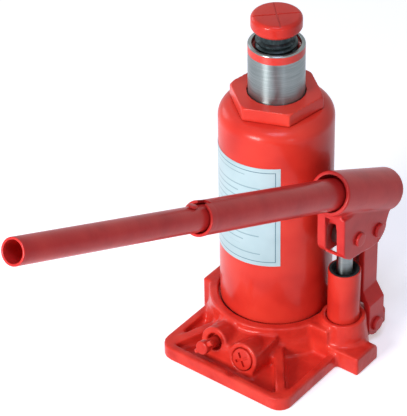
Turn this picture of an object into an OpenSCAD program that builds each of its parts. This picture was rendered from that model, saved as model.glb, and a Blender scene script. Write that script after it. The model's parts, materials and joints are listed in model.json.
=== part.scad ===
// Hydraulic bottle jack with a two-piece pump handle.
// Millimetres. +Z is up, the origin lies on the ground on the axis of the ram,
// +X points to the pump and -Y to the valves and the handle.

/* [Base casting] */
// Distance from the ram axis to the left edge of the foot
foot_left = 36.5; // [30:0.5:40]
// Distance from the ram axis to the right edge of the foot
foot_right = 59; // [57:0.5:72]
// Distance from the ram axis to the front edge of the foot
foot_front = 73.5; // [70:0.5:95]
// Distance from the ram axis to the back edge of the foot
foot_back = 42; // [40:0.5:60]
// Corner radius of the foot
foot_corner_r = 9; // [3:0.5:14]
// Height of the rim around the foot
rim_h = 9.5; // [7:0.5:12]
// Width of the rim around the foot
rim_w = 5; // [3:0.5:7]
// Thickness of the pocket floors
floor_t = 3.5; // [2.5:0.1:5]
// Radius of the hub that carries the reservoir
hub_r = 42; // [40:0.5:42]
// Height of the hub
hub_h = 24; // [22:0.5:28]
// Width of the diagonal ribs
rib_w = 6; // [3:0.5:9]

/* [Reservoir] */
// Outer diameter of the reservoir tube
tube_d = 70; // [66:0.5:71]
// Wall of the reservoir tube
tube_wall = 3; // [2:0.1:4]
// Height of the straight part of the tube above the ground
tube_top = 155; // [120:1:200]
// Height of the rounded shoulder
shoulder_h = 9; // [6:0.5:12]
// Radius where the shoulder meets the flat under the nut
shoulder_r = 29.5; // [26:0.5:31]
// Distance across the flats of the top nut
nut_af = 50; // [44:0.5:52]
// Height of the hexagon of the top nut
nut_h = 8.5; // [6:0.5:14]

/* [Ram] */
// Diameter of the ram
ram_d = 34.1; // [30:0.1:36]
// Height of the ram's rim above the nut as drawn
ram_out = 33; // [28:0.5:60]
// Wall of the pressure cylinder
cylinder_wall = 3.5; // [2.5:0.1:4]
// Lift that is left below the drawn position
ram_below = 25; // [15:1:27]
// Diameter of the extension screw
screw_d = 25.2; // [20:0.2:26]
// Length of the screw below its head
screw_l = 80; // [60:1:90]
// Pitch of the screw
screw_pitch = 4; // [3:0.5:5]
// Diameter of the saddle on the screw
saddle_d = 30.6; // [26:0.2:34]
// Height of the saddle
saddle_h = 9; // [6:0.5:14]
// Gap between ram and saddle as drawn
saddle_gap = 9.6; // [2:0.2:20]

/* [Pump] */
// Distance from the ram axis to the pump axis
pump_x = 51.5; // [50:0.5:56]
// Height of the pump boss
boss_h = 27.6; // [24:0.2:34]
// Outer diameter of the pump cylinder
pump_d = 20.2; // [18:0.2:22]
// Height of the pump cylinder's rim above the ground
pump_top = 63; // [50:0.5:66]
// Diameter of the pump plunger
plunger_d = 10; // [8:0.5:12]
// Height of the plunger pin above the ground
plunger_pin_z = 89.5; // [86:0.5:96]
// Diameter of the pivot pins
pin_d = 7; // [5:0.5:8]
// Distance from the pump axis back to the link
link_y = 20.5; // [18:0.5:24]
// Height of the link's upper pin
link_top_z = 84; // [80:0.5:90]
// Height of the link's lower pin
link_low_z = 12; // [11.5:0.5:16]
// Thickness of each link plate
link_t = 4; // [3:0.1:5]

/* [Handle] */
// Outer diameter of the handle socket
socket_d = 27; // [25:0.5:30]
// Bore of the handle socket
socket_bore = 22.7; // [21:0.1:25]
// Length of the handle socket
socket_l = 66.3; // [50:0.5:80]
// Slope of the handle socket, in degrees
socket_slope = 27.6; // [20:0.1:35]
// Outer diameter of the front handle tube
front_d = 19.4; // [17:0.1:20.2]
// Length of the front handle tube
front_l = 178; // [120:1:250]
// Outer diameter of the rear handle tube
rear_d = 14.7; // [12:0.1:16]
// Length of the rear handle tube
rear_l = 195; // [120:1:250]
// Wall of both handle tubes
handle_wall = 1.4; // [1:0.1:2.2]
// Slope of the handle, in degrees
handle_slope = 24.7; // [20:0.1:30]

/* [Valves] */
// Upward tilt of the valve bores, in degrees
valve_tilt = 15; // [5:1:18]
// Distance of the release valve from the ram axis, to the left
release_x = -4.5; // [-8:0.5:-2]
// Height of the release valve in the front face
release_z = 16; // [15:0.5:17]
// Distance of the overload valve from the ram axis, to the right
overload_x = 17.6; // [17:0.1:20]
// Height of the overload valve in the front face
overload_z = 13.5; // [12.5:0.1:14]
// Diameter of the overload plug
plug_d = 15; // [13:0.5:16]

/* [Fits] */
// Radial gap of a running fit
run_gap = 0.06; // [0.02:0.01:0.09]
// Gap between parts that pass each other freely
free_gap = 0.4; // [0.3:0.05:0.6]
// Thickness of the flat gaskets
gasket_t = 1.5; // [1:0.1:2]

/* [Hidden] */
$fn = 64;
eps = 0.01;

// reservoir and pressure cylinder
tube_r = tube_d / 2;
tube_in = tube_r - tube_wall;
groove_out = tube_r + 1.2;
groove_in = tube_in - 0.6;
groove_z = hub_h - 3.5;
tube_z0 = groove_z + gasket_t;
shoulder_z = tube_top + shoulder_h;
neck_r = 24;
nut_z0 = shoulder_z + 0.5;
nut_z1 = nut_z0 + nut_h;
nut_skirt_z = nut_z0 - 15;
ram_r = ram_d / 2;
ram_hole_r = ram_r + run_gap;
bore_r = ram_r + 0.95;
cylinder_r = bore_r + cylinder_wall;
recess_z = hub_h - 6.5;
cylinder_z0 = recess_z + gasket_t;

// ram, screw and saddle
ram_z1 = nut_z1 + ram_out;
ram_z0 = cylinder_z0 + ram_below + 5;
piston_h = 9;
cup_h = 4;
screw_r = screw_d / 2;
screw_hole_r = screw_r + run_gap;
stop_r = screw_r + 0.8;
stop_hole_r = stop_r + run_gap;
stop_h = 3;
screw_z1 = ram_z1 + saddle_gap;
screw_z0 = screw_z1 - screw_l;
screw_travel = 45;
stop_wall_z = screw_z0 + stop_h + screw_travel + 1;
screw_hole_z0 = screw_z0 - saddle_gap - 3;
neck_screw_r = screw_r - 2.2;

// pump
pump_r = pump_d / 2;
pump_z0 = 14;
chamber_z0 = 8.5;
plunger_r = plunger_d / 2;
plunger_z0 = 29;
wiper_h = 4;
pin_r = pin_d / 2;
eye_r = pin_r + 1.3;
eye_y = 0.83;
eye_dz = -0.47;
eye_t = plunger_d;

// link and clevis, seen along the pins
lug_w = 13.6;
link_out_low = lug_w / 2 + 0.3 + link_t;
link_out_top = 5.5;
link_bend_z = 29.6;
link_bend_h = 9;
link_w_low = 16;
link_w_top = 15;
clevis_w = 20;
slot_w = 2 * (link_out_top + 0.3);
groove_w = 8;
link_low_y = link_y - 0.2;

// handle
socket_z = 119.9;
socket_r = socket_d / 2;
socket_back = 46.4;
handle_z = 120;
label_z0 = 66;
label_h = 72;
label_from = -164.4;
label_to = -49.6;
handle_in = 22;
joint_lap = 38;
front_r = front_d / 2;
rear_r = rear_d / 2;

// valves
face_y0 = -62;
face_tan = tan(valve_tilt);
release_boss_r = 9.6;
overload_boss_r = 10.6;
boss_proud = 0.4;
plug_r = plug_d / 2;
plug_l = 9;
release_r = 3.4;
release_head_r = 4.3;
release_out = 13;
release_l = 20;
valve_ball_r = 2.5;
function face_y(z) = face_y0 + (z - floor_t) * face_tan;

// colours
enamel = [0.80, 0.16, 0.13];
steel = [0.62, 0.66, 0.67];
dark_steel = [0.24, 0.27, 0.28];
rubber = [0.08, 0.09, 0.09];
copper = [0.72, 0.45, 0.30];

// ---- shared shapes ----

module ring(r_out, r_in, h) {
    difference() {
        cylinder(r = r_out, h = h);
        translate([0, 0, -1]) cylinder(r = r_in, h = h + 2);
    }
}

// A round bar or hole along +X from x0 to x1
module bar_x(r, x0, x1, y, z) {
    translate([x0, y, z]) rotate([0, 90, 0]) cylinder(r = r, h = x1 - x0);
}

// A ring whose section is a circle
module o_ring(r, wire) {
    rotate_extrude() translate([r, 0]) circle(r = wire, $fn = 24);
}

// Puts +Z along a line that climbs towards the front
module uphill(z, slope) {
    translate([pump_x, 0, z]) rotate([90 - slope, 0, 0]) children();
}

// Puts +Z along a valve bore, outwards, with its origin in the front face
module at_valve(x, z) {
    translate([x, face_y(z), z]) rotate([90 - valve_tilt, 0, 0]) children();
}

module rounded_rect(x0, x1, y0, y1, r) {
    union() {
        translate([x0 + r, y0]) square([x1 - x0 - 2 * r, y1 - y0]);
        translate([x0, y0 + r]) square([x1 - x0, y1 - y0 - 2 * r]);
        for (x = [x0 + r, x1 - r], y = [y0 + r, y1 - r])
            translate([x, y]) circle(r = r);
    }
}

// A coil spring: a round wire swept along a helix
module coil_spring(r, wire, length, turns) {
    sides = 6;
    steps = turns * 14;
    points = [for (i = [0:steps], j = [0:sides - 1])
        let (a = 360 * turns * i / steps, b = 360 * j / sides, q = r + wire * cos(b))
        [q * cos(a), q * sin(a), wire + (length - 2 * wire) * i / steps + wire * sin(b)]];
    walls = [for (i = [0:steps - 1], j = [0:sides - 1])
        let (k = (j + 1) % sides)
        [i * sides + j, (i + 1) * sides + j, (i + 1) * sides + k, i * sides + k]];
    first = [for (j = [0:sides - 1]) j];
    last = [for (j = [0:sides - 1]) steps * sides + sides - 1 - j];
    polyhedron(points, concat(walls, [first, last]), convexity = 6);
}

// ---- base ----

// One rib from the hub out to a corner of the rim
module corner_rib(x, y) {
    reach = norm([x, y]) + rim_w / 3;
    rotate([0, 0, atan2(y, x)]) translate([0, rib_w / 2, 0]) rotate([90, 0, 0])
        linear_extrude(rib_w)
            polygon([[hub_r - 8, 0], [reach, 0], [reach, rim_h - 0.5], [hub_r - 8, rim_h + 3]]);
}

// Block behind the inclined front face, with both valve bosses
module valve_block() {
    x0 = release_x - release_boss_r;
    x1 = overload_x + overload_boss_r - 1.5;
    top = 17.5;
    translate([x1, 0, 0]) rotate([0, -90, 0]) linear_extrude(x1 - x0)
        polygon([[0, face_y(0) + boss_proud], [top, face_y(top) + boss_proud],
                 [top + 2, -35], [0, -35]]);
    intersection() {
        union() {
            at_valve(release_x, release_z) translate([0, 0, -26])
                cylinder(r = release_boss_r, h = 26);
            at_valve(overload_x, overload_z) translate([0, 0, -26])
                cylinder(r = overload_boss_r, h = 26);
        }
        translate([-50, -100, 0]) cube([100, 200, 60]);
    }
}

// Boss that takes the pump cylinder, with the block beside it
module pump_boss() {
    block_x = pump_x + 23;
    block_h = 13;
    block_y = -17.5;
    translate([pump_x, 0, 0]) cylinder(r1 = 17, r2 = 13.8, h = boss_h);
    translate([0, block_y, 0]) cube([pump_x, 25.5, hub_h]);
    translate([pump_x - 10, 0, 0]) rotate([90, 0, 90]) linear_extrude(block_x - pump_x + 10)
        union() {
            translate([block_y, 0]) square([-block_y + 5, block_h - 6]);
            translate([block_y, 0]) square([-block_y - 1, block_h]);
            translate([-1, block_h - 6]) circle(r = 6);
        }
}

// Ear that the link turns on
module link_lug() {
    translate([pump_x - lug_w / 2, link_low_y - 8, 0]) cube([lug_w, 16, link_low_z]);
    bar_x(8, pump_x - lug_w / 2, pump_x + lug_w / 2, link_low_y, link_low_z);
}

module base() color(enamel) difference() {
    union() {
        linear_extrude(floor_t)
            rounded_rect(-foot_left, foot_right, -foot_front, foot_back, foot_corner_r);
        linear_extrude(rim_h) difference() {
            rounded_rect(-foot_left, foot_right, -foot_front, foot_back, foot_corner_r);
            rounded_rect(rim_w - foot_left, foot_right - rim_w, rim_w - foot_front,
                         foot_back - rim_w, max(foot_corner_r - rim_w, 1));
        }
        cylinder(r = hub_r, h = hub_h);
        intersection() {
            translate([0, 0, 4]) cylinder(r1 = hub_r + 3, r2 = hub_r - 1, h = hub_h - 8);
            translate([-foot_left, -foot_front, 0])
                cube([foot_left + foot_right, foot_front + foot_back, hub_h]);
        }
        translate([-hub_r - 0.5, -20, 0]) cube([hub_r, 38, hub_h]);
        for (x = [rim_w - foot_left, foot_right - rim_w], y = [rim_w - foot_front, foot_back - rim_w])
            corner_rib(x, y);
        valve_block();
        pump_boss();
        link_lug();
    }
    // seats of the reservoir tube and the pressure cylinder
    translate([0, 0, groove_z]) ring(groove_out, groove_in, hub_h);
    translate([0, 0, recess_z]) cylinder(r = cylinder_r + run_gap, h = hub_h);
    // pump seat, chamber and the clearance ring around the pump cylinder
    translate([pump_x, 0, pump_z0]) cylinder(r = pump_r - 0.6, h = boss_h);
    translate([pump_x, 0, boss_h - 2]) cylinder(r = pump_r + 1, h = boss_h);
    translate([pump_x, 0, chamber_z0]) cylinder(r = plunger_r + 0.5, h = boss_h);
    // room for the link plates and the lower pin
    for (x = [pump_x - lug_w / 2 - link_t - 4, pump_x + lug_w / 2])
        translate([x, link_low_y - 8.8, floor_t]) cube([link_t + 4, 30, boss_h]);
    translate([pump_x + lug_w / 2, link_low_y - 8.8, -1]) cube([20, 60, rim_h + 2]);
    bar_x(pin_r + run_gap, pump_x - lug_w, pump_x + lug_w, link_low_y, link_low_z);
    // release valve: spindle, ball and the way to the pressure side
    at_valve(release_x, release_z) {
        translate([0, 0, -release_l - 4]) cylinder(r = release_r + 1.6 + run_gap, h = 60);
        translate([0, 0, -release_l - 8]) cylinder(r = valve_ball_r + run_gap, h = 60);
        translate([0, 0, -5]) cylinder(r = release_head_r + 1.1, h = 20);
        translate([0, 0, -44]) cylinder(r = 1.6, h = 40);
    }
    // overload valve: plug, spring and ball
    at_valve(overload_x, overload_z) {
        translate([0, 0, -plug_l]) cylinder(r = plug_r, h = 60);
        translate([0, 0, -plug_l - 16]) cylinder(r = 3.6, h = 60);
        translate([0, 0, -36]) cylinder(r = 1.5, h = 40);
    }
    // delivery valve under the pressure cylinder, and its passage from the pump
    translate([10, 0, 7]) cylinder(r = 3.8, h = hub_h);
    bar_x(1.5, 10, pump_x, 0, chamber_z0 + 2.1);
    // suction way from the reservoir
    translate([26.5, 0, 4]) cylinder(r = 1.6, h = hub_h);
    bar_x(1.4, 26.5, pump_x, 0, 5.9);
    translate([pump_x, 0, 4]) cylinder(r = 2, h = 10);
}

module tube_gasket() color(rubber)
    translate([0, 0, groove_z]) ring(tube_r, tube_in, gasket_t);

// ---- reservoir ----

module reservoir_tube() color(enamel) {
    arc = [for (a = [0:15:75]) [shoulder_r + (tube_r - shoulder_r) * cos(a),
                                tube_top + shoulder_h * sin(a)]];
    inner = [for (a = [75:-15:0]) [shoulder_r - 2 + (tube_in - shoulder_r + 2) * cos(a),
                                   tube_top - tube_wall + shoulder_h * sin(a)]];
    difference() {
        rotate_extrude() polygon(concat(
            [[tube_in, tube_z0], [tube_r, tube_z0]], arc,
            [[shoulder_r, shoulder_z], [neck_r, shoulder_z], [neck_r, shoulder_z - tube_wall]],
            inner));
        // filler hole on the far side
        translate([0, tube_r, filler_z]) rotate([90, 0, 0])
            cylinder(r = filler_r, h = 4 * tube_wall, center = true);
    }
}
filler_z = 132;
filler_r = 5;

module filler_plug() color(rubber) translate([0, tube_r, filler_z]) rotate([-90, 0, 0])
    difference() {
        union() {
            translate([0, 0, -tube_wall - 2]) cylinder(r = filler_r - 0.05, h = tube_wall + 2.4);
            translate([0, 0, 0.4]) cylinder(r1 = 7.5, r2 = 6.5, h = 2.2);
            translate([0, 0, -tube_wall - 4]) cylinder(r1 = 3.8, r2 = filler_r - 0.05, h = 2);
        }
        translate([0, 0, 1.4]) cylinder(r = 3.5, h = 5);
    }

module top_nut() color(enamel) difference() {
    union() {
        intersection() {
            translate([0, 0, nut_z0]) rotate([0, 0, 21.6])
                cylinder(r = nut_af / sqrt(3), h = nut_h, $fn = 6);
            translate([0, 0, nut_z0 - 1])
                cylinder(r1 = nut_af / sqrt(3) + nut_h, r2 = nut_af / sqrt(3) - 1.6, h = nut_h + 1);
        }
        translate([0, 0, nut_z0 - 0.5]) cylinder(r = nut_af / 2 - 1, h = 2);
        translate([0, 0, nut_skirt_z]) cylinder(r = neck_r - run_gap, h = nut_z0 - nut_skirt_z + 1);
    }
    translate([0, 0, nut_skirt_z - 1]) cylinder(r = ram_hole_r, h = 60);
    translate([0, 0, nut_z1 - 6]) cylinder(r = ram_r + 3, h = 3);
    translate([0, 0, nut_z1 - 3.5]) cylinder(r = ram_r + 0.6, h = 10);
}

module ram_wiper_seal() color(rubber)
    translate([0, 0, nut_z1 - 6]) ring(ram_r + 2.95, ram_hole_r, 2.9);

module pressure_cylinder() color(dark_steel)
    translate([0, 0, cylinder_z0]) ring(cylinder_r, bore_r, nut_skirt_z - cylinder_z0);

module cylinder_gasket() color(copper)
    translate([0, 0, recess_z]) ring(cylinder_r, bore_r, gasket_t);

// Paper-thin plate bent round the tube: a rating plate without any text
module label() color([0.80, 0.87, 0.88]) translate([0, 0, label_z0])
    rotate([0, 0, label_from]) rotate_extrude(angle = label_to - label_from)
        translate([tube_r + 0.05, 0]) square([0.2, label_h]);

// ---- ram ----

module ram() color(steel) difference() {
    union() {
        translate([0, 0, ram_z0]) cylinder(r = ram_r, h = ram_z1 - ram_z0 - 1.2);
        translate([0, 0, ram_z1 - 1.2]) cylinder(r1 = ram_r, r2 = ram_r - 1.2, h = 1.2);
        translate([0, 0, ram_z0 - piston_h]) cylinder(r = 9, h = piston_h + 1);
    }
    translate([0, 0, screw_hole_z0]) cylinder(r = screw_hole_r, h = 200);
    translate([0, 0, screw_hole_z0]) cylinder(r = stop_hole_r, h = stop_wall_z - screw_hole_z0);
    translate([0, 0, ram_z1 - 5]) cylinder(r1 = screw_hole_r, r2 = ram_r - 2.4, h = 2);
    translate([0, 0, ram_z1 - 3]) cylinder(r = ram_r - 2.4, h = 10);
}

module piston() color(dark_steel) translate([0, 0, ram_z0 - piston_h + cup_h])
    ring(bore_r - run_gap, 9, piston_h - cup_h);

module piston_cup_seal() color(rubber) translate([0, 0, ram_z0 - piston_h]) difference() {
    ring(bore_r - run_gap, 9, cup_h);
    translate([0, 0, -eps]) ring(bore_r - 2, 12, cup_h - 1.5);
}

module extension_screw() color(dark_steel) {
    turns = floor((screw_l - 16) / screw_pitch);
    difference() {
        union() {
            translate([0, 0, screw_z0 + stop_h + 2])
                cylinder(r = screw_r - screw_pitch / 3, h = screw_l - stop_h - 2);
            // thread crests
            for (i = [0:turns - 1]) translate([0, 0, screw_z0 + stop_h + 2 + i * screw_pitch])
                rotate_extrude() polygon([
                    [1, 0], [screw_r - screw_pitch / 3, 0], [screw_r, screw_pitch * 0.3],
                    [screw_r, screw_pitch * 0.6], [screw_r - screw_pitch / 3, screw_pitch * 0.9],
                    [1, screw_pitch * 0.9]]);
            translate([0, 0, screw_z0 - 2]) cylinder(r = neck_screw_r, h = stop_h + 6);
            translate([0, 0, screw_z1 - 5]) cylinder(r = screw_r - 1.6, h = 6);
            translate([0, 0, screw_z1]) rotate_extrude() polygon(concat(
                [[0, 0], [saddle_d / 2 - 2, 0]],
                [for (a = [-75:25:0]) [saddle_d / 2 - 2 + 2 * cos(a), 2 + 2 * sin(a)]],
                [for (a = [0:25:75]) [saddle_d / 2 - 2 + 2 * cos(a), saddle_h - 2.4 + 2 * sin(a)]],
                [[saddle_d / 2 - 3, saddle_h - 0.3], [9, saddle_h], [0, saddle_h]]));
        }
        // crossed grip grooves in the saddle
        for (a = [45, 135]) translate([0, 0, screw_z1 + saddle_h]) rotate([0, 0, a])
            cube([saddle_d + 2, 1.2, 1.4], center = true);
    }
}

module screw_stop_ring() color(steel)
    translate([0, 0, screw_z0]) ring(stop_r, neck_screw_r + run_gap, stop_h);

// ---- pump ----

module pump_cylinder() color(enamel) translate([pump_x, 0, 0]) difference() {
    union() {
        translate([0, 0, pump_z0 + gasket_t])
            cylinder(r = pump_r - 0.6, h = pump_top - pump_z0 - gasket_t);
        translate([0, 0, boss_h - 2]) cylinder(r = pump_r, h = pump_top - boss_h + 2);
    }
    translate([0, 0, pump_z0]) cylinder(r = plunger_r + run_gap, h = pump_top);
    translate([0, 0, pump_top - wiper_h - 1]) cylinder(r = pump_r - 1.4, h = 20);
}

module pump_gasket() color(copper)
    translate([pump_x, 0, pump_z0]) ring(pump_r - 1, plunger_r + 0.5, gasket_t);

module pump_wiper_seal() color(rubber) translate([pump_x, 0, pump_top - wiper_h - 1])
    difference() {
        cylinder(r = pump_r - 1.4, h = wiper_h);
        translate([0, 0, -1]) cylinder(r = plunger_r + run_gap, h = 20);
        translate([0, 0, 1.5]) cylinder(r1 = plunger_r + 0.3, r2 = plunger_r + 2.6, h = 3);
    }

module pump_plunger() color(steel) difference() {
    union() {
        translate([pump_x, 0, plunger_z0])
            cylinder(r = plunger_r, h = plunger_pin_z - plunger_z0 - 5);
        intersection() {
            bar_x(8.2, pump_x - 10, pump_x + 10, eye_y, plunger_pin_z + eye_dz);
            translate([pump_x - eye_t / 2, -30, 0]) cube([eye_t, 60, 200]);
        }
    }
    bar_x(eye_r, pump_x - 10, pump_x + 10, eye_y, plunger_pin_z + eye_dz);
    translate([pump_x, 0, plunger_z0 + 3]) ring(plunger_r + 1, plunger_r - 1.2, 2.2);
}

module plunger_o_ring() color(rubber) translate([pump_x, 0, plunger_z0 + 4.1])
    o_ring(plunger_r - 0.55, 0.5);

// ---- link ----

// Side outline of one link plate, in Y and Z
module link_outline() {
    union() {
        translate([link_low_y, link_low_z]) circle(r = link_w_low / 2);
        translate([link_low_y - link_w_low / 2, link_low_z])
            square([link_w_low, link_bend_z - link_low_z]);
        polygon([[link_low_y - link_w_low / 2, link_bend_z - eps],
                 [link_low_y + link_w_low / 2, link_bend_z - eps],
                 [link_y + link_w_top / 2, link_bend_z + link_bend_h],
                 [link_y - link_w_top / 2, link_bend_z + link_bend_h]]);
        translate([link_y - link_w_top / 2, link_bend_z + link_bend_h - eps])
            square([link_w_top, link_top_z - link_bend_z - link_bend_h + eps]);
        translate([link_y, link_top_z]) circle(r = link_w_top / 2);
    }
}

module link_plate() difference() {
    intersection() {
        translate([-20, 0, 0]) rotate([90, 0, 90]) linear_extrude(40) link_outline();
        translate([0, 60, 0]) rotate([90, 0, 0]) linear_extrude(80) polygon([
            [link_out_low, 0], [link_out_low, link_bend_z],
            [link_out_top, link_bend_z + link_bend_h], [link_out_top, 120],
            [link_out_top - link_t, 120], [link_out_top - link_t, link_bend_z + link_bend_h - 1.6],
            [link_out_low - link_t, link_bend_z - 1.6], [link_out_low - link_t, 0]]);
    }
    bar_x(pin_r + run_gap, -20, 20, link_low_y, link_low_z);
    bar_x(pin_r + run_gap, -20, 20, link_y, link_top_z);
}

module link_plate_near() color(enamel) translate([pump_x, 0, 0]) link_plate();
module link_plate_far() color(enamel) translate([pump_x, 0, 0]) mirror([1, 0, 0]) link_plate();

// A headed pin with a clip groove; the head is on the +X side
module headed_pin(half, y, z, head_r) color(dark_steel) difference() {
    union() {
        bar_x(pin_r, pump_x - half - 3, pump_x + half, y, z);
        bar_x(head_r, pump_x + half, pump_x + half + 2, y, z);
    }
    translate([pump_x - half - 1.6, y, z]) rotate([0, 90, 0]) ring(pin_r + 1, pin_r - 0.7, 1.1);
}
module pin_clip(half, y, z)
    translate([pump_x - half - 1.55, y, z]) rotate([0, 90, 0]) ring(pin_r + 1.6, pin_r - 0.65, 1);

module plunger_pin() headed_pin(clevis_w / 2 + 0.1, 0, plunger_pin_z, pin_r + 1);
module link_top_pin() headed_pin(clevis_w / 2 + 0.1, link_y, link_top_z, pin_r + 1);
module link_bottom_pin() headed_pin(link_out_low + 0.1, link_low_y, link_low_z, pin_r + 1.2);
module pin_clips_socket() color(steel) {
    pin_clip(clevis_w / 2 + 0.1, 0, plunger_pin_z);
    pin_clip(clevis_w / 2 + 0.1, link_y, link_top_z);
}
module pin_clip_link() color(steel) pin_clip(link_out_low + 0.1, link_low_y, link_low_z);

// ---- handle ----

// Side outline of the clevis under the socket, in Y and Z
module clevis_outline() union() {
    polygon([[-16, 112], [-15.5, 86], [-13.5, 82.5], [-8, 78.5], [4, 76.5], [13, 74.5], [22, 74],
             [27.5, 79], [33, 91], [40, 97], [26, 108]]);
    translate([link_y, link_top_z]) circle(r = 9.5);
}

module handle_socket() color(enamel) difference() {
    union() {
        uphill(socket_z, socket_slope) translate([0, 0, -socket_back])
            cylinder(r = socket_r, h = socket_l);
        translate([pump_x - clevis_w / 2, 0, 0]) rotate([90, 0, 90])
            linear_extrude(clevis_w) clevis_outline();
    }
    uphill(socket_z, socket_slope) translate([0, 0, -socket_back - 10])
        cylinder(r = socket_bore / 2, h = socket_l + 20);
    // slot for the plunger eye and the link plates, open below and behind
    translate([pump_x - slot_w / 2, 0, 0]) rotate([90, 0, 90]) linear_extrude(slot_w)
        polygon([[-12.5, 60], [-12.5, 101], [7, 101], [20, 94], [45, 81], [45, 60]]);
    bar_x(pin_r + run_gap, pump_x - 20, pump_x + 20, 0, plunger_pin_z);
    bar_x(pin_r + run_gap, pump_x - 20, pump_x + 20, link_y, link_top_z);
    // groove down the front of the clevis
    translate([pump_x - groove_w / 2, -20, 83]) cube([groove_w, 10, 21]);
}

module handle_front_tube() color(enamel) uphill(handle_z, handle_slope) difference() {
    union() {
        translate([0, 0, -handle_in]) cylinder(r = front_r, h = front_l);
        // slightly belled lip at the joint
        translate([0, 0, front_l - handle_in - 5]) cylinder(r1 = front_r, r2 = front_r + 0.4, h = 5);
    }
    translate([0, 0, -handle_in - 1]) cylinder(r = front_r - handle_wall, h = front_l + 2);
    // bayonet notch in the lip
    translate([-2.5, 0, front_l - handle_in - 6]) cube([5, 20, 10]);
}

module handle_rear_tube() color(enamel) uphill(handle_z, handle_slope)
    translate([0, 0, front_l - handle_in - joint_lap]) difference() {
        cylinder(r = rear_r, h = rear_l);
        translate([0, 0, -1]) cylinder(r = rear_r - handle_wall, h = rear_l + 2);
        translate([0, 0, joint_lap + 8]) rotate([-90, 0, 0]) cylinder(r = 2, h = 20);
    }

// Spring stud that locks the rear tube to the notch
module handle_lock_stud() color(enamel) uphill(handle_z, handle_slope)
    translate([0, 0, front_l - handle_in + 8]) rotate([-90, 0, 0]) {
        translate([0, 0, rear_r - handle_wall - 2]) cylinder(r = 1.95, h = handle_wall + 2.4);
        translate([0, 0, rear_r + 0.35]) cylinder(r1 = 3, r2 = 2, h = 1.2);
    }

// ---- valves ----

module release_valve_screw() color(enamel) at_valve(release_x, release_z) difference() {
    union() {
        translate([0, 0, -release_l]) cylinder(r = release_r + 1.6, h = 14);
        translate([0, 0, -release_l - 2]) cylinder(r1 = 1.6, r2 = release_r, h = 2);
        translate([0, 0, -7]) cylinder(r = release_r, h = release_out + 6);
        translate([0, 0, release_out - 5]) cylinder(r = release_head_r, h = 4.4);
        translate([0, 0, release_out - 0.6])
            cylinder(r1 = release_head_r, r2 = release_head_r - 0.6, h = 0.6);
    }
    translate([0, 0, -11]) ring(release_r + 3, release_r + 0.4, 2.2);
    translate([0, 0, release_out - 3]) rotate([0, 0, 45]) rotate([0, 90, 0])
        cylinder(r = 1.62, h = 40, center = true);
}

module release_cross_pin() color(steel) at_valve(release_x, release_z)
    translate([0, 0, release_out - 3]) rotate([0, 0, 45]) rotate([0, 90, 0])
        cylinder(r = 1.6, h = 15, center = true);

module release_o_ring() color(rubber) at_valve(release_x, release_z)
    translate([0, 0, -9.9]) o_ring(release_r + 1, 0.55);

module release_ball() color(steel) at_valve(release_x, release_z)
    translate([0, 0, -release_l - 2 - valve_ball_r]) sphere(r = valve_ball_r);

module overload_plug() color(enamel) at_valve(overload_x, overload_z) difference() {
    union() {
        translate([0, 0, -plug_l]) cylinder(r = plug_r - 0.5, h = plug_l + 0.4);
        translate([0, 0, -1.4]) ring(plug_r - 0.5, plug_r - 1.6, 2);
    }
    for (a = [35, 125]) rotate([0, 0, a]) translate([0, 0, 0.2])
        cube([plug_d * 0.55, 1.8, 2.6], center = true);
}

module overload_spring() color(steel) at_valve(overload_x, overload_z)
    translate([0, 0, -plug_l - 11]) coil_spring(2.4, 0.5, 11, 6);

module overload_ball() color(steel) at_valve(overload_x, overload_z)
    translate([0, 0, -plug_l - 16 + sqrt(2.9 * 2.9 - 1.5 * 1.5)]) sphere(r = 2.9);

module suction_ball() color(steel) translate([pump_x, 0, chamber_z0 + 1.6]) sphere(r = 2.4);

module delivery_ball() color(steel) translate([10, 0, 7 + 2.9]) sphere(r = 2.9);
module delivery_spring() color(steel) translate([10, 0, 7 + 5.8]) coil_spring(2.3, 0.4, 3.2, 3);
module delivery_retainer() color(steel) translate([10, 0, recess_z - 1.5]) ring(3.76, 1.4, 1.5);

base();
reservoir_tube();
tube_gasket();
top_nut();
ram_wiper_seal();
pressure_cylinder();
cylinder_gasket();
ram();
piston();
piston_cup_seal();
extension_screw();
screw_stop_ring();
pump_cylinder();
pump_gasket();
pump_wiper_seal();
pump_plunger();
plunger_o_ring();
handle_socket();
plunger_pin();
link_top_pin();
link_bottom_pin();
pin_clips_socket();
pin_clip_link();
link_plate_near();
link_plate_far();
handle_front_tube();
handle_rear_tube();
handle_lock_stud();
release_valve_screw();
release_cross_pin();
release_o_ring();
release_ball();
overload_plug();
overload_spring();
overload_ball();
suction_ball();
delivery_ball();
delivery_spring();
delivery_retainer();
filler_plug();
label();
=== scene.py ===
# A hydraulic bottle jack: enamelled castings, a polished ram, rubber seals and a tubular handle.

import json
from math import atan2, cos, pi, radians, sin, tan

import bmesh
import bpy
from mathutils import Matrix, Vector


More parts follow.
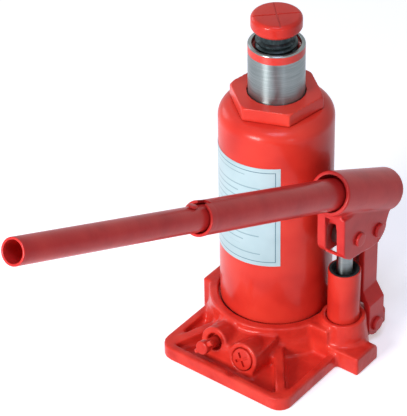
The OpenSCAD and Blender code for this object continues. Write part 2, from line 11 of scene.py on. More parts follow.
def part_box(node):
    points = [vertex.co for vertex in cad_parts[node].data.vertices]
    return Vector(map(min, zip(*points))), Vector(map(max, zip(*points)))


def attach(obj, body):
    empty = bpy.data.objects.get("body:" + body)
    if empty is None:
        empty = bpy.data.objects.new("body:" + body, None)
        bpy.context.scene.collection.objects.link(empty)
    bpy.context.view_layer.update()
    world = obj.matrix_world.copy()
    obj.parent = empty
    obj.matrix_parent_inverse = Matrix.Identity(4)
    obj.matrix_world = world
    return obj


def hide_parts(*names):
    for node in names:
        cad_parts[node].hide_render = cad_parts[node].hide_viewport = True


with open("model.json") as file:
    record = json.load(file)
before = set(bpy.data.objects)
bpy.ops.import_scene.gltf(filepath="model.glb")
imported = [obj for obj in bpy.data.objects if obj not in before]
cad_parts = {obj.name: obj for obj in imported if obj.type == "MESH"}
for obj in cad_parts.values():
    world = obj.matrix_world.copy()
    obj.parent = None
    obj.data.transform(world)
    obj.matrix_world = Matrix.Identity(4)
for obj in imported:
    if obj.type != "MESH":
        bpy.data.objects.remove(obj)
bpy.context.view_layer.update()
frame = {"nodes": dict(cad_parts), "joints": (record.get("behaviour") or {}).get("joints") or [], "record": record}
NODES = frame["nodes"]
JOINTS = {j["name"]: j for j in frame["joints"]}
MM = 0.001


# ---- the frame, read in millimetres ----

def low(node):
    """The lowest corner of a CAD node's box."""
    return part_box(node)[0] / MM


def high(node):
    """The highest corner of a CAD node's box."""
    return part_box(node)[1] / MM


def joint_point(name):
    """Where a joint's axis passes."""
    return Vector(JOINTS[name]["pos_m"]) / MM


def joint_axis(name):
    """Which way a joint turns or slides."""
    return Vector(JOINTS[name]["axis"])


# ---- colours and materials ----

def srgb(hex_colour, alpha=1.0):
    """An sRGB hex value as the linear colour that shaders take."""
    parts = [int(hex_colour[i:i + 2], 16) / 255 for i in (0, 2, 4)]
    return [c / 12.92 if c <= 0.04045 else ((c + 0.055) / 1.055) ** 2.4 for c in parts] + [alpha]


def add(tree, kind, settings=None, **inputs):
    """Adds one node; inputs are values or the sockets that feed them."""
    node = tree.nodes.new(kind)
    for key, value in (settings or {}).items():
        setattr(node, key, value)
    for key, value in inputs.items():
        socket = node.inputs[int(key[1:])] if key[0] == "i" and key[1:].isdigit() else node.inputs[key]
        if isinstance(value, bpy.types.NodeSocket):
            tree.links.new(value, socket)
        else:
            socket.default_value = value
    return node


def new_material(name, **values):
    """A Principled material; values are set straight on the shader's sockets."""
    mat = bpy.data.materials.new(name)
    mat.use_nodes = True
    shader = mat.node_tree.nodes["Principled BSDF"]
    for key, value in values.items():
        shader.inputs[key.replace("_", " ")].default_value = value
    return mat, mat.node_tree, shader


def place(tree, scale=(1, 1, 1)):
    """Object coordinates in millimetres, stretched by scale."""
    coords = add(tree, "ShaderNodeTexCoord").outputs["Object"]
    return add(tree, "ShaderNodeMapping", Vector=coords,
               Scale=[s / MM for s in scale]).outputs["Vector"]


def noise(tree, vector, size_mm, detail=2.0, roughness=0.5):
    """Cloudy grain whose patches are about size_mm across."""
    return add(tree, "ShaderNodeTexNoise", Vector=vector, Scale=1 / size_mm, Detail=detail,
               Roughness=roughness).outputs["Fac"]


def ramp(tree, fac, stops):
    """A colour ramp; stops are (position, hex)."""
    node = add(tree, "ShaderNodeValToRGB", Fac=fac)
    elements = node.color_ramp.elements
    while len(elements) < len(stops):
        elements.new(0.5)
    for element, (position, colour) in zip(elements, stops):
        element.position = position
        element.color = srgb(colour)
    return node.outputs["Color"]


def bump(tree, height, strength, distance_mm, normal=None):
    """Relief of distance_mm, laid over the relief in normal if there is one."""
    node = add(tree, "ShaderNodeBump", Height=height, Strength=strength, Distance=distance_mm * MM)
    if normal is not None:
        tree.links.new(normal, node.inputs["Normal"])
    return node.outputs["Normal"]


BODY_RED = ("BC261C", "CE3226", "D83E2E")
HANDLE_RED = ("B82220", "C62C28", "D23830")


def red_enamel(name, shades, tones_at, tone_noise, **gloss):
    """Gloss enamel whose red drifts between three shades; returns it with its coordinates."""
    mat, tree, shader = new_material(name, Coat_Weight=0.12, Specular_IOR_Level=0.16, **gloss)
    where = place(tree)
    tone = noise(tree, where, *tone_noise)
    tree.links.new(ramp(tree, tone, list(zip(tones_at, shades))), shader.inputs["Base Color"])
    return mat, tree, shader, where


def enamel_on_casting():
    """Thick gloss enamel over a sand casting: pooled and wavy, with soft sparkle on the edges."""
    mat, tree, shader, where = red_enamel("red_enamel_on_cast_iron", BODY_RED, (0.3, 0.5, 0.75), (14, 3),
                                          Roughness=0.3, Coat_Roughness=0.1)
    sand = bump(tree, noise(tree, where, 2.4, 2), 0.35, 0.5)
    wave = bump(tree, noise(tree, where, 9, 1), 0.5, 0.9, sand)
    tree.links.new(wave, shader.inputs["Normal"])
    return mat


def enamel_on_tube():
    """The same enamel on drawn tube and turned parts: smooth, with a faint orange peel."""
    mat, tree, shader, where = red_enamel("red_enamel_on_tube", BODY_RED, (0.3, 0.5, 0.8), (30, 2),
                                          Roughness=0.28, Coat_Roughness=0.05)
    peel = bump(tree, noise(tree, where, 1.6, 1), 0.12, 0.25)
    tree.links.new(peel, shader.inputs["Normal"])
    return mat


def enamel_on_handle():
    """Thinner enamel on the handle and link, a shade deeper than on the body."""
    mat, tree, shader, where = red_enamel("red_enamel_on_handle", HANDLE_RED, (0.3, 0.5, 0.8), (22, 3),
                                          Roughness=0.34, Coat_Roughness=0.15)
    peel = bump(tree, noise(tree, where, 1.8, 1), 0.15, 0.25)
    tree.links.new(peel, shader.inputs["Normal"])
    return mat


def ground_steel(name, band=None):
    """Hardened steel, cylindrically ground: fine rings round the shaft stretch its highlights
    along it. Grinding marks are 0.01 mm apart in fact and are drawn 0.4 mm apart to show.
    band is (low, high) in mm where red enamel covers the steel."""
    mat, tree, shader = new_material(name, Metallic=1.0, Roughness=0.3, Anisotropic=0.9,
                                     Anisotropic_Rotation=0.25)
    where = place(tree, (0.02, 0.02, 1))
    rings = noise(tree, where, 0.4, 3, 0.6)
    tint = ramp(tree, rings, [(0.3, "727C7D"), (0.6, "8D9595"), (0.8, "9DA3A1")])
    tangent = add(tree, "ShaderNodeTangent", {"direction_type": "RADIAL", "axis": "Z"})
    tree.links.new(tangent.outputs[0], shader.inputs["Tangent"])
    tree.links.new(bump(tree, rings, 0.2, 0.05), shader.inputs["Normal"])
    if band is None:
        tree.links.new(tint, shader.inputs["Base Color"])
        return mat
    coords = add(tree, "ShaderNodeTexCoord").outputs["Object"]
    height = add(tree, "ShaderNodeSeparateXYZ", Vector=coords).outputs["Z"]
    wander = add(tree, "ShaderNodeMath", {"operation": "MULTIPLY_ADD"}, i0=noise(tree, place(tree), 5),
                 i1=0.4 * MM, i2=height).outputs[0]
    above = add(tree, "ShaderNodeMath", {"operation": "GREATER_THAN"}, i0=wander,
                i1=band[0] * MM).outputs[0]
    below = add(tree, "ShaderNodeMath", {"operation": "LESS_THAN"}, i0=wander,
                i1=band[1] * MM).outputs[0]
    painted = add(tree, "ShaderNodeMath", {"operation": "MULTIPLY"}, i0=above, i1=below).outputs[0]
    red = add(tree, "ShaderNodeMix", {"data_type": "RGBA"}, i0=painted, A=tint, B=srgb(BODY_RED[1]))
    tree.links.new(red.outputs["Result"], shader.inputs["Base Color"])
    bare = add(tree, "ShaderNodeMath", {"operation": "SUBTRACT"}, i0=1.0, i1=painted).outputs[0]
    tree.links.new(bare, shader.inputs["Metallic"])
    return mat


def turned_steel():
    """Bright turned steel of rings and retainers, with its tool marks."""
    mat, tree, shader = new_material("turned_steel", Metallic=1.0, Roughness=0.32)
    marks = noise(tree, place(tree, (0.05, 0.05, 1)), 0.35, 2)
    tree.links.new(ramp(tree, marks, [(0.3, "8B8E8D"), (0.7, "A9ACAA")]), shader.inputs["Base Color"])
    tree.links.new(bump(tree, marks, 0.2, 0.05), shader.inputs["Normal"])
    return mat


def oiled_black_steel():
    """Screw and cylinder steel under black oxide and a film of oil: dark, with greasy streaks."""
    mat, tree, shader = new_material("oiled_black_steel", Metallic=0.85, Roughness=0.38)
    streaks = noise(tree, place(tree, (1, 1, 0.4)), 2.2, 4, 0.6)
    tree.links.new(ramp(tree, streaks, [(0.3, "1C2426"), (0.55, "303B3D"), (0.8, "4A5657")]),
                   shader.inputs["Base Color"])
    tree.links.new(bump(tree, streaks, 0.15, 0.1), shader.inputs["Normal"])
    return mat


def seal_rubber():
    """Nitrile rubber: near black, matt, with a faint moulded grain."""
    mat, tree, shader = new_material("nitrile_rubber", Roughness=0.6, Specular_IOR_Level=0.4)
    grain = noise(tree, place(tree), 0.6, 3)
    tree.links.new(ramp(tree, grain, [(0.3, "0E1718"), (0.7, "1B2728")]), shader.inputs["Base Color"])
    tree.links.new(bump(tree, grain, 0.2, 0.08), shader.inputs["Normal"])
    return mat


def soft_copper():
    """Annealed copper of the washers: pinkish and dull."""
    mat, tree, shader = new_material("soft_copper", Metallic=1.0, Roughness=0.4)
    cloud = noise(tree, place(tree), 3, 3)
    tree.links.new(ramp(tree, cloud, [(0.3, "A5654A"), (0.7, "C98B6C")]), shader.inputs["Base Color"])
    tree.links.new(bump(tree, cloud, 0.1, 0.05), shader.inputs["Normal"])
    return mat


def spring_steel():
    """Drawn wire and rolled balls: bright grey with a slight oil tint."""
    mat, tree, shader = new_material("spring_steel", Metallic=1.0, Roughness=0.25)
    cloud = noise(tree, place(tree), 1.5, 3)
    tree.links.new(ramp(tree, cloud, [(0.3, "7D807E"), (0.7, "A3A6A2")]), shader.inputs["Base Color"])
    tree.links.new(bump(tree, cloud, 0.05, 0.03), shader.inputs["Normal"])
    return mat


# the film's printed pattern, in millimetres
BORDER_IN = 3.0
BORDER_HALF_WIDTH = 0.28
LINES_IN = 6.0
LINE_PITCH = 4.4
LINE_WIDTH = 0.9
LINE_SHIFT = 0.6
GROUP_PITCH = 26


def label_film():
    """Printed film: pale blue-grey with a thin teal border and plain ruled lines, no lettering."""
    mat, tree, shader = new_material("printed_film", Roughness=0.35, Coat_Weight=0.4,
                                     Coat_Roughness=0.2)
    lo, hi = low("label"), high("label")
    coords = add(tree, "ShaderNodeTexCoord").outputs["Object"]
    split = add(tree, "ShaderNodeSeparateXYZ", Vector=coords).outputs

    def math(operation, a, b=0.0, c=0.0):
        """The result of one sum of the film's pattern."""
        return add(tree, "ShaderNodeMath", {"operation": operation}, i0=a, i1=b, i2=c).outputs[0]

    # distance up the film and along its curve, both in millimetres
    angle = math("ARCTAN2", split["Y"], split["X"])
    across = math("MULTIPLY", math("SUBTRACT", angle, radians(LABEL_MID)), LABEL_R)
    up = math("MULTIPLY_ADD", across, -LABEL_SLANT, math("MULTIPLY", split["Z"], 1 / MM))
    mid = (lo.z + hi.z) / 2
    half_h = (hi.z - lo.z) / 2
    half_w = LABEL_HALF_ANGLE * LABEL_R
    from_mid = math("ABSOLUTE", math("SUBTRACT", up, mid))
    from_side = math("ABSOLUTE", across)
    # the border runs inside the edge, and the lines start inside the border
    edge = math("MINIMUM", math("SUBTRACT", half_h, from_mid), math("SUBTRACT", half_w, from_side))
    border = math("COMPARE", edge, BORDER_IN, BORDER_HALF_WIDTH)
    inside = math("GREATER_THAN", edge, LINES_IN)
    from_line = math("ADD", up, LINE_SHIFT)
    ruled = math("LESS_THAN", math("MODULO", from_line, LINE_PITCH), LINE_WIDTH)
    # groups of ruled lines with a line left out between them, some of them short
    grouped = math("GREATER_THAN", math("MODULO", math("ADD", up, 3), GROUP_PITCH), LINE_PITCH)
    line_number = math("FLOOR", math("DIVIDE", from_line, LINE_PITCH))
    line_end = math("MULTIPLY_ADD", math("SINE", math("MULTIPLY", line_number, 2.3)), 9.0, 14.0)
    short = math("GREATER_THAN", line_end, across)
    lines = math("MULTIPLY", math("MULTIPLY", math("MULTIPLY", ruled, inside), grouped), short)
    ink = math("MAXIMUM", border, math("MULTIPLY", lines, 0.55))
    film = ramp(tree, noise(tree, place(tree), 20), [(0.3, "9DB6BA"), (0.7, "ABC2C5")])
    mix = add(tree, "ShaderNodeMix", {"data_type": "RGBA"}, i0=ink, i6=film, i7=srgb("4F7480"))
    tree.links.new(mix.outputs[2], shader.inputs["Base Color"])
    return mat


# ---- mesh tools, all in millimetres ----

def finish_piece(bm, name, body, mat, stands_for=(), sharp=40, clean=True):
    """Turns a bmesh in millimetres into a finished piece that rides on a body."""
    if clean:
        bmesh.ops.remove_doubles(bm, verts=bm.verts, dist=0.002)
        bmesh.ops.recalc_face_normals(bm, faces=bm.faces)
    bmesh.ops.scale(bm, vec=(MM, MM, MM), verts=bm.verts)
    mesh = bpy.data.meshes.new(name)
    bm.to_mesh(mesh)
    bm.free()
    return finish_mesh(mesh, name, body, mat, stands_for, sharp)


def finish_mesh(mesh, name, body, mat, stands_for=(), sharp=40):
    """Shades a mesh, gives it its material, links it as a piece on its body and hides the CAD nodes it stands for.
    """
    mesh.materials.clear()
    mesh.materials.append(mat)
    mesh.polygons.foreach_set("use_smooth", [True] * len(mesh.polygons))
    mesh.set_sharp_from_angle(angle=radians(sharp))
    piece = bpy.data.objects.new(name, mesh)
    bpy.context.scene.collection.objects.link(piece)
    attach(piece, body)
    if stands_for:
        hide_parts(*stands_for)
    return piece


def rounded(corners, steps=6):
    """An outline through (r, z, radius) corners, each turned into an arc of that radius."""
    points = []
    count = len(corners)
    for i, (r, z, radius) in enumerate(corners):
        here = Vector((r, z))
        if radius <= 0:
            points.append(here)
            continue
        before = (Vector(corners[i - 1][:2]) - here).normalized()
        after = (Vector(corners[(i + 1) % count][:2]) - here).normalized()
        half = before.angle(after) / 2
        start = here + before * radius / tan(half)
        end = here + after * radius / tan(half)
        centre = here + (before + after).normalized() * radius / sin(half)
        a, b = start - centre, end - centre
        turn = atan2(a.x * b.y - a.y * b.x, a.dot(b))
        for k in range(steps + 1):
            t = turn * k / steps
            points.append(centre + Vector((a.x * cos(t) - a.y * sin(t), a.x * sin(t) + a.y * cos(t))))
    return points


def lathe(corners, segments=96, steps=6):
    """A turned shape: corners are (r, z, radius) of its closed section, r = 0 on the axis."""
    bm = bmesh.new()
    ring = [bm.verts.new((p.x, 0, p.y)) for p in rounded(corners, steps)]
    edges = [bm.edges.new((ring[i - 1], ring[i])) for i in range(len(ring))]
    bmesh.ops.spin(bm, geom=ring + edges, cent=(0, 0, 0), axis=(0, 0, 1), angle=2 * pi,
                   steps=segments, use_merge=True)
    bmesh.ops.remove_doubles(bm, verts=bm.verts, dist=0.0005)
    loose = [e for e in bm.edges if not e.link_faces]
    bmesh.ops.delete(bm, geom=loose, context="EDGES")
    bmesh.ops.recalc_face_normals(bm, faces=bm.faces)
    return bm


def move(bm, matrix):
    """Places a bmesh and returns it."""
    bmesh.ops.transform(bm, matrix=matrix, verts=bm.verts)
    return bm


def join(bm, other):
    """Adds the faces of other to bm and frees it."""
    mesh = bpy.data.meshes.new("join")
    other.to_mesh(mesh)
    other.free()
    bm.from_mesh(mesh)
    bpy.data.meshes.remove(mesh)
    return bm


def along(axis, origin):
    """The placement that puts +Z along axis with its origin at origin."""
    return Matrix.Translation(origin) @ Vector((0, 0, 1)).rotation_difference(axis).to_matrix().to_4x4()


def node_copy(node):
    """A merged copy of a CAD node's mesh, in millimetres."""
    bm = bmesh.new()
    bm.from_mesh(NODES[node].data)
    bmesh.ops.scale(bm, vec=(1 / MM, 1 / MM, 1 / MM), verts=bm.verts)
    bmesh.ops.remove_doubles(bm, verts=bm.verts, dist=0.002)
    return bm


def rod(r, z0, z1, segments=64):
    """A plain cylinder from z0 to z1."""
    bm = bmesh.new()
    bmesh.ops.create_cone(bm, cap_ends=True, segments=segments, radius1=r, radius2=r, depth=z1 - z0)
    return move(bm, Matrix.Translation((0, 0, (z0 + z1) / 2)))


def block(x, y, z):
    """A box of these sides, centred on the origin."""
    bm = bmesh.new()
    bmesh.ops.create_cube(bm, size=1)
    bmesh.ops.scale(bm, vec=(x, y, z), verts=bm.verts)
    return bm


def apply_modifiers(bm, *stack):
    """Runs a stack of modifiers, each (kind, settings), over a bmesh and returns the result."""
    mesh = bpy.data.meshes.new("work")
    bm.to_mesh(mesh)
    bm.free()
    work = bpy.data.objects.new("work", mesh)
    bpy.context.scene.collection.objects.link(work)
    for kind, settings in stack:
        modifier = work.modifiers.new(kind.lower(), kind)
        for key, value in settings.items():
            setattr(modifier, key, value)
    bpy.context.view_layer.update()
    done = work.evaluated_get(bpy.context.evaluated_depsgraph_get())
    out = bmesh.new()
    out.from_mesh(bpy.data.meshes.new_from_object(done))
    bpy.data.objects.remove(work)
    return out


def cast_skin(bm, voxel, fillet, soften):
    """Poured and painted skin: inner corners get fillets, outer edges are softened."""
    grid = {"mode": "VOXEL", "voxel_size": voxel}
    stack = [("REMESH", grid)]
    if fillet:
        stack += [("DISPLACE", {"strength": fillet, "mid_level": 0}), ("REMESH", grid),
                  ("DISPLACE", {"strength": -fillet, "mid_level": 0}), ("REMESH", grid)]
    stack += [("SMOOTH", {"factor": 0.5, "iterations": soften})]
    return apply_modifiers(bm, *stack)


def cut(bm, *tools):
    """Bores a solid with one or more tool solids."""
    tool = tools[0]
    for other in tools[1:]:
        join(tool, other)
    mesh = bpy.data.meshes.new("tool")
    tool.to_mesh(mesh)
    tool.free()
    cutter = bpy.data.objects.new("tool", mesh)
    bpy.context.scene.collection.objects.link(cutter)
    out = apply_modifiers(bm, ("BOOLEAN", {"object": cutter, "operation": "DIFFERENCE",
                                           "solver": "EXACT"}))
    bpy.data.objects.remove(cutter)
    return out


def keep_inside(bm, lowest, highest):
    """Holds every point within the node's own box."""
    for v in bm.verts:
        for k in range(3):
            v.co[k] = min(max(v.co[k], lowest[k]), highest[k])
    return bm


# ---- measures taken from the frame ----

RAM_LO, RAM_HI = low("ram"), high("ram")
RAM_R = RAM_HI.x
TUBE_LO, TUBE_HI = low("reservoir_tube"), high("reservoir_tube")
TUBE_R = TUBE_HI.x
NUT_HI = high("top_nut")
PUMP = joint_point("link_swing")
LABEL_R = TUBE_R + 0.25
LABEL_FROM, LABEL_TO = -164.4, -49.6
LABEL_MID = (LABEL_FROM + LABEL_TO) / 2
LABEL_HALF_ANGLE = radians(LABEL_TO - LABEL_FROM) / 2
LABEL_SLANT = 0.05
HANDLE_AXIS = joint_axis("handle_insert")
VALVE_AXIS = joint_axis("release_travel")

CAST = enamel_on_casting()
TUBE = enamel_on_tube()
HANDLE = enamel_on_handle()
GROUND = ground_steel("ground_steel")
RAM_STEEL = ground_steel("ground_steel_with_red_band", band=(RAM_HI.z - 5.6, RAM_HI.z - 0.7))
TURNED = turned_steel()
BLACK = oiled_black_steel()
RUBBER = seal_rubber()
COPPER = soft_copper()
SPRING = spring_steel()
FILM = label_film()


def dress_cad_nodes():
    """Gives every CAD node that stays its own finish."""
    by_slot = {"red_enamel": CAST, "ground_steel": GROUND, "black_steel": BLACK,
               "turned_steel": TURNED, "red_paint_steel": TUBE, "seal_rubber": RUBBER,
               "copper": COPPER, "spring_steel": SPRING, "label_film": FILM}
    slots = {s["node"]: s["material_slot"] for s in frame["record"]["subparts"]}
    for name, node in NODES.items():
        node.data.materials.clear()
        node.data.materials.append(by_slot[slots[name]])


# ---- pieces ----

FOOT_FACES = 90000


def foot_casting():
    """The cast foot: skin first, then the machined seats are bored again."""
    lo, hi = low("base"), high("base")
    hub_top = 24
    bm = cast_skin(node_copy("base"), 0.65, 1.1, 3)
    seat = lathe([(TUBE_R - 3.6, hub_top - 3.5, 0), (TUBE_R + 1.2, hub_top - 3.5, 0),
                  (TUBE_R + 1.4, hub_top + 9, 0), (TUBE_R - 3.6, hub_top + 9, 0)])
    pump_seat = move(rod(11.1, hi.z - 2, hi.z + 9), Matrix.Translation((PUMP.x, 0, 0)))
    bm = cut(bm, seat, pump_seat)
    keep_inside(bm, lo, hi)
    bm = apply_modifiers(bm, ("DECIMATE", {"ratio": min(1, FOOT_FACES / len(bm.faces))}))
    return finish_piece(bm, "foot_casting", "jack", CAST, ["base"], 35, clean=False)


def reservoir():
    """Drawn tube with a rolled shoulder under the nut."""
    z0, z1 = TUBE_LO.z, TUBE_HI.z
    wall = 3
    neck_r = 24
    bm = lathe([(TUBE_R - wall, z0, 0), (TUBE_R, z0, 0.6), (TUBE_R, z1, 8.5), (neck_r, z1, 0),
                (neck_r, z1 - wall, 0), (TUBE_R - wall, z1 - wall, 5.5)], 128, 10)
    return finish_piece(bm, "reservoir_shell", "jack", TUBE, ["reservoir_tube"])


def top_nut():
    """Hexagon with soft, paint-filled edges, bored for the ram."""
    bm = cast_skin(node_copy("top_nut"), 0.5, 0, 4)
    bm = cut(bm, rod(RAM_R + 0.35, 100, 220, 96))
    keep_inside(bm, low("top_nut"), NUT_HI)
    return finish_piece(bm, "painted_nut", "jack", TUBE, ["top_nut"], 35, clean=False)


def ram():
    """Hollow lifting ram, with a chamfered mouth and a shelf above the stop ring."""
    hole = high("screw_stop_ring").x + 0.05
    mouth = RAM_R - 2.4
    throat = 12.7
    z0, z1 = RAM_LO.z, RAM_HI.z
    shelf = z1 - 22
    bm = lathe([(9, z0, 0), (9, z0 + 9, 0), (RAM_R, z0 + 9, 0.5), (RAM_R, z1, 1.0), (mouth, z1, 0.5),
                (mouth, z1 - 3.5, 0), (throat, z1 - 5, 0), (throat, shelf, 0), (hole, shelf, 0),
                (hole, z0 + 70, 0), (0, z0 + 66, 0), (0, z0, 0)], 128)
    return finish_piece(bm, "lifting_ram", "ram", RAM_STEEL, ["ram"])


def extension_screw():
    """Saddle head over a real helical thread."""
    lo, hi = low("extension_screw"), high("extension_screw")
    head_r = hi.x
    head_z = hi.z - 9
    pitch = 4.0
    crest = high("screw_stop_ring").x - 0.85
    root = crest - 1.5
    bm = lathe([(0, lo.z, 0), (root, lo.z, 0.6), (root, head_z + 1, 0), (0, head_z + 1, 0)], 72)
    turns = int((head_z - lo.z - 12) / pitch)
    start = head_z - 6 - turns * pitch
    section = [(root - 0.3, -1.7), (crest, -0.5), (crest, 0.5), (root - 0.3, 1.7)]
    thread = bmesh.new()
    ring = [thread.verts.new((r, 0, start + z)) for r, z in section]
    edges = [thread.edges.new((ring[i - 1], ring[i])) for i in range(len(ring))]
    face = thread.faces.new(ring)
    steps = 48
    bmesh.ops.spin(thread, geom=[face] + ring + edges, cent=(0, 0, 0), axis=(0, 0, 1),
                   dvec=(0, 0, pitch / steps), angle=2 * pi * turns, steps=steps * turns)
    bmesh.ops.recalc_face_normals(thread, faces=thread.faces)
    join(bm, thread)
    screw = finish_piece(bm, "screw_thread", "screw", BLACK, [], 30, clean=False)

    saddle = lathe([(0, head_z, 0), (head_r - 1.2, head_z, 0.8), (head_r, head_z + 1.6, 1.6),
                    (head_r, hi.z, 2.6), (8, hi.z, 4), (0, hi.z - 0.1, 0)], 96, 8)
    for turn in (pi / 4, 3 * pi / 4):
        groove = block(2.2 * head_r, 0.9, 1.0)
        saddle = cut(saddle, move(groove, Matrix.Translation((0, 0, hi.z)) @ Matrix.Rotation(turn, 4, "Z")))
    head = finish_piece(saddle, "saddle_head", "screw", TUBE, [], 35, clean=False)
    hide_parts("extension_screw")
    return head


def pump_body():
    """Pump barrel, and the dished rubber wiper in its mouth."""
    lo, hi = low("pump_cylinder"), high("pump_cylinder")
    r = hi.x - PUMP.x
    bore = r - 0.7
    spigot_top = 25.6
    seat = hi.z - 5
    bm = lathe([(r - 0.6, lo.z, 0), (r - 0.6, spigot_top, 0), (r, spigot_top, 0), (r, hi.z, 0.6),
                (bore, hi.z, 0.3), (bore, seat, 0), (5.1, seat, 0), (5.1, lo.z, 0)], 80)
    move(bm, Matrix.Translation((PUMP.x, 0, 0)))
    finish_piece(bm, "pump_barrel", "jack", TUBE, ["pump_cylinder"])
    lip = hi.z - 3.2
    wiper = lathe([(5.06, seat, 0), (bore, seat, 0), (bore, hi.z, 0.6), (8.1, hi.z, 0.4),
                   (6.2, lip, 0.6), (5.06, lip, 0)], 72)
    move(wiper, Matrix.Translation((PUMP.x, 0, 0)))
    finish_piece(wiper, "rubber_wiper", "jack", RUBBER, ["pump_wiper_seal"])


def socket():
    """Clevis welded under the handle socket, with a soft painted skin."""
    node = "handle_socket"
    centre = Vector((PUMP.x, 0, 119.9))
    slope = radians(27.6)
    axis = Vector((0, -cos(slope), sin(slope)))
    bm = node_copy(node)
    join(bm, move(rod(12.3, -46.3, 19.8), along(axis, centre)))
    bm = cast_skin(bm, 0.5, 1.2, 6)
    # the bore, and the groove between the front lips
    bm = cut(bm, move(rod(11.35, -80, 60, 96), along(axis, centre)))
    bm = cut(bm, move(block(8, 8, 12), Matrix.Translation((PUMP.x, -15.6, 103.4))))
    keep_inside(bm, low(node), high(node))
    return finish_piece(bm, "socket_and_clevis", "socket", HANDLE, [node], 35,
                        clean=False)


def link_plates():
    """Two joggled strips, sheared and painted."""
    for side in ("near", "far"):
        node = "link_plate_" + side
        bm = cast_skin(node_copy(node), 0.45, 0, 4)
        keep_inside(bm, low(node), high(node))
        finish_piece(bm, "painted_link_" + side, "link", HANDLE, [node], 35, clean=False)


PIN_R = 3.5


def pins():
    """Headed pins with domed, painted heads."""
    for node, body in (("plunger_pin", "socket"), ("link_top_pin", "link"), ("link_bottom_pin", "jack")):
        lo, hi = low(node), high(node)
        head = (hi.z - lo.z) / 2
        length = hi.x - lo.x
        bm = lathe([(0, 0, 0), (PIN_R, 0, 0.6), (PIN_R, length - 2, 0), (head, length - 2, 0.3),
                    (head, length, 1.0), (0, length, 0)], 48)
        move(bm, along(Vector((1, 0, 0)), Vector((lo.x, (lo.y + hi.y) / 2, (lo.z + hi.z) / 2))))
        finish_piece(bm, "painted_" + node, body, HANDLE, [node])


def handle_tube(length, r, lip, wall=1.4):
    """A drawn tube with rolled ends, open at both."""
    return lathe([(r, 0, 0.5), (r, length - 6, 8), (r + lip, length, 0.5), (r - wall, length, 0.5),
                  (r - wall, 0, 0.5)], 80)


def handle():
    """Two tubes that lap, with the lock stud in the notch of the front one."""
    front_length, rear_length = 178, 195
    behind_start = 22
    front_end = front_length - behind_start
    lap = 38
    place_handle = tilted(Vector((PUMP.x, 0, 120)), HANDLE_AXIS)
    bm = handle_tube(front_length, 9.7, 0.35)
    move(bm, Matrix.Translation((0, 0, -behind_start)))
    bm = cut(bm, move(block(5, 20, 12), Matrix.Translation((0, 10, front_end))))
    move(bm, place_handle)
    finish_piece(bm, "front_tube", "front_handle", HANDLE, ["handle_front_tube"], 35,
                 clean=False)
    bm = handle_tube(rear_length, 7.35, 0)
    move(bm, place_handle @ Matrix.Translation((0, 0, front_end - lap)))
    finish_piece(bm, "rear_tube", "rear_handle", HANDLE, ["handle_rear_tube"])
    stud = lathe([(0, 4, 0), (1.95, 4, 0), (1.95, 7.6, 0), (3.0, 7.6, 0.2), (2.6, 8.9, 0.8), (0, 9, 0)], 32)
    move(stud, place_handle @ Matrix.Translation((0, 0, front_end + 8))
         @ Matrix.Rotation(-pi / 2, 4, "X"))
    finish_piece(stud, "lock_stud", "rear_handle", HANDLE, ["handle_lock_stud"])


def tilted(point, axis):
    """The placement that puts +Z along a sloping axis at point, with +X kept level."""
    return Matrix.Translation(point) @ Matrix.Rotation(atan2(-axis.y, axis.z), 4, "X")


def valves():
    """Release spindle and the cross pin that turns it."""
    at = tilted(joint_point("release_turn"), VALVE_AXIS)
    spindle = lathe([(0, -20, 0), (5, -20, 0.4), (5, -6, 0.4), (3.4, -6, 0), (3.4, 8, 0.4),
                     (4.3, 8.4, 0.5), (4.3, 13, 0.9), (0, 13, 0)], 64)
    move(spindle, at)
    finish_piece(spindle, "release_spindle", "release_spindle", CAST,
                 ["release_valve_screw"])
    pin = lathe([(0, -7.5, 0), (1.6, -7.5, 0.5), (1.6, 7.5, 0.5), (0, 7.5, 0)], 32)
    move(pin, at @ Matrix.Translation((0, 0, 10)) @ Matrix.Rotation(pi / 4, 4, "Z")
         @ Matrix.Rotation(pi / 2, 4, "Y"))
    finish_piece(pin, "cross_pin", "release_spindle", CAST, ["release_cross_pin"])


def overload_plug():
    """Plug with a cross slot, flush in its bore."""
    face = Vector(((low("overload_plug").x + high("overload_plug").x) / 2, 0, 13.5))
    face.y = -62 + (face.z - 3.5) * tan(radians(15))
    bm = lathe([(0, -9, 0), (7, -9, 0.3), (7, 0.4, 0.9), (0, 0.4, 0)], 64)
    for turn in (35, 125):
        bm = cut(bm, move(block(9.5, 1.9, 2.4), Matrix.Rotation(radians(turn), 4, "Z")))
    move(bm, tilted(face, VALVE_AXIS))
    finish_piece(bm, "slotted_plug", "jack", CAST, ["overload_plug"], 35, clean=False)


def label():
    """Film bent round the tube."""
    lo, hi = low("label"), high("label")
    bm = bmesh.new()
    a = radians(LABEL_FROM)
    back = LABEL_R - 0.18
    corners = [(back, lo.z), (LABEL_R, lo.z), (LABEL_R, hi.z), (back, hi.z)]
    verts = [bm.verts.new((r * cos(a), r * sin(a), z)) for r, z in corners]
    edges = [bm.edges.new((verts[i - 1], verts[i])) for i in range(4)]
    face = bm.faces.new(verts)
    bmesh.ops.spin(bm, geom=[face] + verts + edges, cent=(0, 0, 0), axis=(0, 0, 1),
                   angle=radians(LABEL_TO - LABEL_FROM), steps=48)
    for v in bm.verts:
        v.co.z += LABEL_SLANT * LABEL_R * (atan2(v.co.y, v.co.x) - radians(LABEL_MID))
    return finish_piece(bm, "film_label", "jack", FILM, ["label"])


# ---- studio ----

FLOOR_HALF_WIDTH = 3
FLOOR_LIFT = 0.42


def background_rays(tree):
    """1 for rays that show the background: straight to the eye, in steel, or through glass."""
    rays = add(tree, "ShaderNodeLightPath").outputs
    seen = add(tree, "ShaderNodeMath", {"operation": "MAXIMUM"}, i0=rays["Is Camera Ray"],
               i1=rays["Is Glossy Ray"]).outputs[0]
    return add(tree, "ShaderNodeMath", {"operation": "MAXIMUM"}, i0=seen,
               i1=rays["Is Transmission Ray"]).outputs[0]


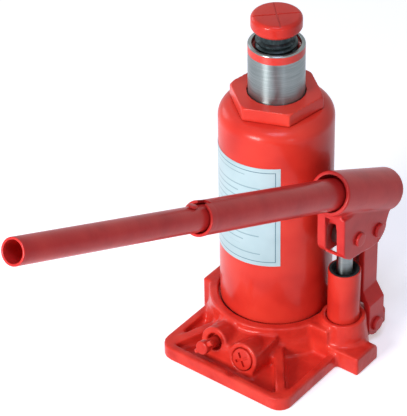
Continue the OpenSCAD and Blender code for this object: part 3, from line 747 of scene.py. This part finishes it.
def studio():
    """Pale floor, white surround and plain soft lamps from the front."""
    scene = bpy.context.scene
    scene.view_settings.view_transform = "Standard"
    world = bpy.data.worlds.new("studio")
    scene.world = world
    world.use_nodes = True
    tree = world.node_tree
    tree.nodes.clear()
    seen = background_rays(tree)
    fill = add(tree, "ShaderNodeBackground", Color=srgb("DCE0F0"), Strength=0.26).outputs[0]
    white = add(tree, "ShaderNodeBackground", Color=srgb("FFFFFF"), Strength=1.0).outputs[0]
    mix = add(tree, "ShaderNodeMixShader", i0=seen, i1=fill, i2=white).outputs[0]
    add(tree, "ShaderNodeOutputWorld", Surface=mix)

    bm = bmesh.new()
    bmesh.ops.create_grid(bm, x_segments=1, y_segments=1, size=FLOOR_HALF_WIDTH)
    mesh = bpy.data.meshes.new("floor")
    bm.to_mesh(mesh)
    bm.free()
    floor = bpy.data.objects.new("floor", mesh)
    scene.collection.objects.link(floor)
    # the floor looks pale to the eye and in steel, and still takes the jack's shadow
    floor_mat, tree, shader = new_material("pale_floor", Base_Color=srgb("F4F4F4"), Roughness=0.9,
                                           Specular_IOR_Level=0.0, Emission_Color=srgb("FFFFFF"))
    lift = add(tree, "ShaderNodeMath", {"operation": "MULTIPLY"}, i0=background_rays(tree),
               i1=FLOOR_LIFT).outputs[0]
    tree.links.new(lift, shader.inputs["Emission Strength"])
    mesh.materials.append(floor_mat)

    def lamp(name, azimuth, elevation, distance, size, power, colour="FFFFFF"):
        """A soft round lamp aimed at the middle of the jack; sizes in metres, power in watts."""
        data = bpy.data.lights.new(name, "AREA")
        data.shape = "DISK"
        data.size = size
        data.energy = power
        data.color = srgb(colour)[:3]
        lamp_object = bpy.data.objects.new(name, data)
        scene.collection.objects.link(lamp_object)
        a, e = radians(azimuth), radians(elevation)
        offset = Vector((sin(a) * cos(e), -cos(a) * cos(e), sin(e))) * distance
        lamp_object.location = Vector((0, 0, 0.11)) + offset
        lamp_object.rotation_euler = offset.to_track_quat("Z", "Y").to_euler()

    lamp("key", -4, 18, 1.6, 0.6, 25)
    lamp("top", 40, 68, 1.6, 0.7, 10, "DCE2FF")
    lamp("side", 62, 14, 1.6, 0.25, 1.6, "EEF4FF")
    lamp("back", 268, 20, 1.8, 0.8, 5, "F2F4FF")


def camera():
    """Long lens from the front right and above."""
    azimuth, elevation, roll = radians(38.53), radians(36.41), radians(-1.22)
    data = bpy.data.cameras.new("view")
    data.lens = 199.0
    data.sensor_width = 36
    view = bpy.data.objects.new("view", data)
    bpy.context.scene.collection.objects.link(view)
    view.location = (0.67093, -0.91409, 0.92245)
    turn = Matrix.Rotation(azimuth, 4, "Z") @ Matrix.Rotation(pi / 2 - elevation, 4, "X")
    view.rotation_euler = (turn @ Matrix.Rotation(roll, 4, "Z")).to_euler()
    bpy.context.scene.camera = view


camera()
studio()
dress_cad_nodes()
foot_casting()
reservoir()
top_nut()
ram()
extension_screw()
pump_body()
socket()
link_plates()
pins()
handle()
valves()
overload_plug()
label()
